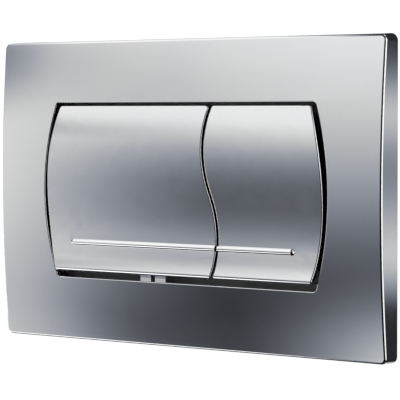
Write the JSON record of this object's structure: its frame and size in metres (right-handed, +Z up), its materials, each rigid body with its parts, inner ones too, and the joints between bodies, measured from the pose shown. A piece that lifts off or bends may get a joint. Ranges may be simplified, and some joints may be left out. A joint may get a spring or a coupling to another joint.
{
  "type": "flush button plate",
  "caption": "Chrome wall plate for a concealed cistern: crowned frame, bowed window, large and small flush buttons parted by a wave, finger bar, push rods and wall frame behind",
  "frame": {"origin": "centre of the plate on the finished wall, which is the middle of the service opening's mouth", "axes": "+X to the plate's right seen from the room, +Y into the wall, +Z up; the plate faces -Y"},
  "size_m": [0.2484, 0.0789, 0.1664],
  "materials": {
    "chrome_plated_abs": "polished chrome plate",
    "grey_abs": "moulded, satin",
    "anthracite_abs": "moulded, fine grain",
    "white_acetal": "moulded, semi-gloss",
    "grey_acetal": "moulded, satin",
    "stainless_steel": "drawn",
    "zinc_steel": "bright zinc plate",
    "black_rubber": "matte"
  },
  "bodies": {
    "plate": {"cover_plate": "chrome_plated_abs", "button_housing": "grey_abs", "mounting_frame": "anthracite_abs", "housing_screws": "zinc_steel", "large_hinge_pin": "stainless_steel", "large_return_spring": "stainless_steel", "large_button_stops": "black_rubber", "large_rod_guide": "grey_acetal", "small_hinge_pin": "stainless_steel", "small_return_spring": "stainless_steel", "small_button_stops": "black_rubber", "small_rod_guide": "grey_acetal", "left_fixing_stud": "zinc_steel", "left_washer": "zinc_steel", "left_thumb_nut": "grey_acetal", "right_fixing_stud": "zinc_steel", "right_washer": "zinc_steel", "right_thumb_nut": "grey_acetal"},
    "large_button": {"large_button": "chrome_plated_abs"},
    "large_plunger": {"large_push_rod": "white_acetal", "large_rod_nut": "grey_acetal", "large_rod_tip": "white_acetal"},
    "small_button": {"small_button": "chrome_plated_abs"},
    "small_plunger": {"small_push_rod": "white_acetal", "small_rod_nut": "grey_acetal", "small_rod_tip": "white_acetal"}
  },
  "joints": [
    {"name": "large_button_tilt", "type": "hinge", "parent": "plate", "child": "large_button", "pos_m": [0, -0.0035, 0.041], "axis": [1, 0, 0], "range_deg": [0, 4.5], "stiffness_Nm_per_rad": 1.3, "springref_deg": -8.59},
    {"name": "large_rod_slide", "type": "slide", "parent": "plate", "child": "large_plunger", "axis": [0, 1, 0], "range_m": [0, 0.0048], "deforming": ["large_return_spring"]},
    {"name": "small_button_tilt", "type": "hinge", "parent": "plate", "child": "small_button", "pos_m": [0, -0.0035, 0.041], "axis": [1, 0, 0], "range_deg": [0, 4.5], "stiffness_Nm_per_rad": 1.3, "springref_deg": -8.59},
    {"name": "small_rod_slide", "type": "slide", "parent": "plate", "child": "small_plunger", "axis": [0, 1, 0], "range_m": [0, 0.0048], "deforming": ["small_return_spring"]}
  ],
  "couplings": [
    {"joint": "large_rod_slide", "follows": "large_button_tilt", "m_per_rad": 0.061},
    {"joint": "small_rod_slide", "follows": "small_button_tilt", "m_per_rad": 0.061}
  ]
}
